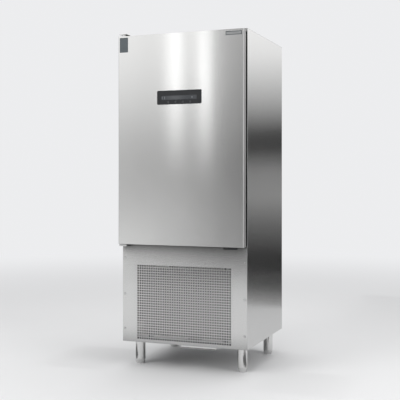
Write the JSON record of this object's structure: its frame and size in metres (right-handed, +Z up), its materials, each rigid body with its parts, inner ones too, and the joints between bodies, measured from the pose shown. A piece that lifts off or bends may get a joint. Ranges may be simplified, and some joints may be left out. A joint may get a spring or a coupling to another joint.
{
  "type": "blast chiller",
  "caption": "Upright stainless steel blast chiller with one full-width insulated door over a tray chamber and a perforated panel over its machinery, on round legs.",
  "frame": {"origin": "on the floor, under the middle of the overall box", "axes": "+Z up, -Y out of the front where the door is, +X to the right as seen from the front"},
  "size_m": [0.79, 0.8184, 2.0043],
  "materials": {
    "casing_steel": "brushed, satin",
    "door_steel": "brushed upright, satin",
    "inner_steel": "smooth, satin",
    "bright_steel": "polished",
    "foot_steel": "turned, satin",
    "galvanised_sheet": "spangled zinc, dull",
    "frame_plastic": "smooth, dull",
    "foam": "raw closed-cell foam",
    "black_plastic": "fine grain, dull",
    "gasket_rubber": "matt",
    "panel_gloss": "glossy",
    "display": "glossy, smoked",
    "key_plastic": "satin",
    "coil_aluminium": "mill finish fins",
    "black_paint": "gloss enamel",
    "copper": "bare copper, slightly dull"
  },
  "bodies": {
    "cabinet": {"left_side_panel": "casing_steel", "right_side_panel": "casing_steel", "top_panel": "casing_steel", "rear_panel": "galvanised_sheet", "rear_grille": "galvanised_sheet", "base_tray": "galvanised_sheet", "front_frame": "frame_plastic", "inner_liner": "inner_steel", "insulation": "foam", "lower_front_panel": "casing_steel", "panel_screw_left_1": "bright_steel", "panel_screw_left_2": "bright_steel", "panel_screw_left_3": "bright_steel", "panel_screw_right_1": "bright_steel", "panel_screw_right_2": "bright_steel", "panel_screw_right_3": "bright_steel", "leg_front_left": "bright_steel", "leg_front_right": "bright_steel", "leg_rear_left": "bright_steel", "leg_rear_right": "bright_steel", "top_hinge_bracket": "bright_steel", "bottom_hinge_bracket": "bright_steel", "top_hinge_pin": "bright_steel", "bottom_hinge_pin": "bright_steel", "compressor": "black_paint", "condenser_coil": "black_paint", "condenser_fan_motor": "black_paint", "liquid_receiver": "black_paint", "suction_pipe": "copper", "discharge_pipe": "copper", "electrical_box": "galvanised_sheet", "evaporator_coil": "coil_aluminium", "fan_wall": "inner_steel", "fan_motor_lower": "black_paint", "fan_motor_upper": "black_paint", "drain_pipe": "frame_plastic", "rack_left": "bright_steel", "rack_right": "bright_steel", "door_switch": "black_plastic", "tray_guide": "galvanised_sheet", "cable_gland": "black_plastic"},
    "door": {"door_skin": "door_steel", "door_profile": "black_plastic", "door_liner": "inner_steel", "door_foam": "foam", "door_gasket": "gasket_rubber", "control_bezel": "panel_gloss", "display_window": "display"},
    "key_1": {"key_1": "key_plastic"},
    "key_2": {"key_2": "key_plastic"},
    "key_3": {"key_3": "key_plastic"},
    "key_4": {"key_4": "key_plastic"},
    "foot_front_left": {"foot_front_left": "foot_steel"},
    "foot_front_right": {"foot_front_right": "foot_steel"},
    "foot_rear_left": {"foot_rear_left": "foot_steel"},
    "foot_rear_right": {"foot_rear_right": "foot_steel"},
    "drip_tray": {"drip_tray": "inner_steel"},
    "condenser_fan": {"condenser_fan": "black_plastic"},
    "chamber_fan_lower": {"chamber_fan_lower": "black_plastic"},
    "chamber_fan_upper": {"chamber_fan_upper": "black_plastic"}
  },
  "joints": [
    {"name": "door_hinge", "type": "hinge", "parent": "cabinet", "child": "door", "pos_m": [-0.37, -0.37775, 1.366], "axis": [0, 0, -1], "range_deg": [0, 120]},
    {"name": "key_1_press", "type": "slide", "parent": "door", "child": "key_1", "axis": [0, 1, 0], "range_m": [0, 0.001], "stiffness_N_per_m": 600, "springref_m": -0.0005},
    {"name": "key_2_press", "type": "slide", "parent": "door", "child": "key_2", "axis": [0, 1, 0], "range_m": [0, 0.001], "stiffness_N_per_m": 600, "springref_m": -0.0005},
    {"name": "key_3_press", "type": "slide", "parent": "door", "child": "key_3", "axis": [0, 1, 0], "range_m": [0, 0.001], "stiffness_N_per_m": 600, "springref_m": -0.0005},
    {"name": "key_4_press", "type": "slide", "parent": "door", "child": "key_4", "axis": [0, 1, 0], "range_m": [0, 0.001], "stiffness_N_per_m": 600, "springref_m": -0.0005},
    {"name": "foot_front_left_screw", "type": "slide", "parent": "cabinet", "child": "foot_front_left", "axis": [0, 0, -1], "range_m": [0, 0.03]},
    {"name": "foot_front_right_screw", "type": "slide", "parent": "cabinet", "child": "foot_front_right", "axis": [0, 0, -1], "range_m": [0, 0.03]},
    {"name": "foot_rear_left_screw", "type": "slide", "parent": "cabinet", "child": "foot_rear_left", "axis": [0, 0, -1], "range_m": [0, 0.03]},
    {"name": "foot_rear_right_screw", "type": "slide", "parent": "cabinet", "child": "foot_rear_right", "axis": [0, 0, -1], "range_m": [0, 0.03]},
    {"name": "drip_tray_slide", "type": "slide", "parent": "cabinet", "child": "drip_tray", "axis": [0, -1, 0], "range_m": [0, 0.28]},
    {"name": "condenser_fan_spin", "type": "hinge", "parent": "cabinet", "child": "condenser_fan", "pos_m": [0, -0.20675, 0.395], "axis": [0, 1, 0], "continuous": true},
    {"name": "chamber_fan_lower_spin", "type": "hinge", "parent": "cabinet", "child": "chamber_fan_lower", "pos_m": [0, 0.12245, 1.11], "axis": [0, 1, 0], "continuous": true},
    {"name": "chamber_fan_upper_spin", "type": "hinge", "parent": "cabinet", "child": "chamber_fan_upper", "pos_m": [0, 0.12245, 1.622], "axis": [0, 1, 0], "continuous": true}
  ]
}
